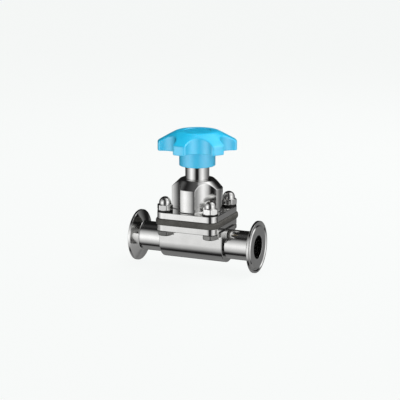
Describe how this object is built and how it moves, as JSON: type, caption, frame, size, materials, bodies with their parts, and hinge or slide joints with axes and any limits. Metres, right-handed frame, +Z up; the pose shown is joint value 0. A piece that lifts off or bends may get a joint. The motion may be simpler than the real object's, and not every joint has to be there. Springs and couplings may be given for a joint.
{
  "type": "diaphragm valve",
  "caption": "Manual weir diaphragm valve with clamp ferrule ends, a bolted bonnet and a lobed hand knob whose rising stem presses a flexible diaphragm onto a weir.",
  "frame": {"origin": "where the flow axis and the stem axis cross", "axes": "+X along the flow from inlet to outlet, +Z up the stem to the hand knob, +Y to the back"},
  "size_m": [0.127, 0.0764, 0.1347],
  "materials": {
    "polished_steel": "polished stainless steel",
    "cast_steel": "satin polished forged stainless steel",
    "fastener_steel": "bright stainless fasteners",
    "bolt_steel": "darker rolled steel bolts",
    "washer_steel": "blackened steel washers",
    "blue_plastic": "moulded sky blue plastic, soft gloss",
    "diaphragm_rubber": "matt dark grey elastomer",
    "bronze": "machined bronze",
    "brass": "machined brass"
  },
  "bodies": {
    "body_assembly": {"valve_body": "cast_steel", "inlet_ferrule": "polished_steel", "outlet_ferrule": "polished_steel", "diaphragm_rim": "diaphragm_rubber", "bonnet": "cast_steel", "stem_bush": "bronze", "sleeve_seal": "diaphragm_rubber", "bolt_inlet_front": "bolt_steel", "bolt_inlet_back": "bolt_steel", "bolt_outlet_front": "bolt_steel", "bolt_outlet_back": "bolt_steel", "washer_inlet_front": "washer_steel", "washer_inlet_back": "washer_steel", "washer_outlet_front": "washer_steel", "washer_outlet_back": "washer_steel", "acorn_nut_inlet_front": "fastener_steel", "acorn_nut_inlet_back": "fastener_steel", "acorn_nut_outlet_front": "fastener_steel", "acorn_nut_outlet_back": "fastener_steel"},
    "compressor_carriage": {"diaphragm_web": "diaphragm_rubber", "diaphragm_stud": "fastener_steel", "compressor": "polished_steel", "retaining_ring": "polished_steel"},
    "handwheel_assembly": {"stem": "polished_steel", "thrust_washer": "bronze", "neck_sleeve": "polished_steel", "handwheel": "blue_plastic", "handwheel_insert": "brass", "handwheel_washer": "fastener_steel", "handwheel_nut": "fastener_steel", "handwheel_cap": "blue_plastic"}
  },
  "joints": [
    {"name": "stem_lift", "type": "slide", "parent": "body_assembly", "child": "compressor_carriage", "axis": [0, 0, 1], "range_m": [-0.00751, 0], "deforming": ["diaphragm_web"]},
    {"name": "handwheel_turn", "type": "hinge", "parent": "compressor_carriage", "child": "handwheel_assembly", "pos_m": [0, 0, 0], "axis": [0, 0, 1], "range_deg": [-900, 0]}
  ],
  "couplings": [
    {"joint": "stem_lift", "follows": "handwheel_turn", "m_per_rad": 0.00047746}
  ]
}
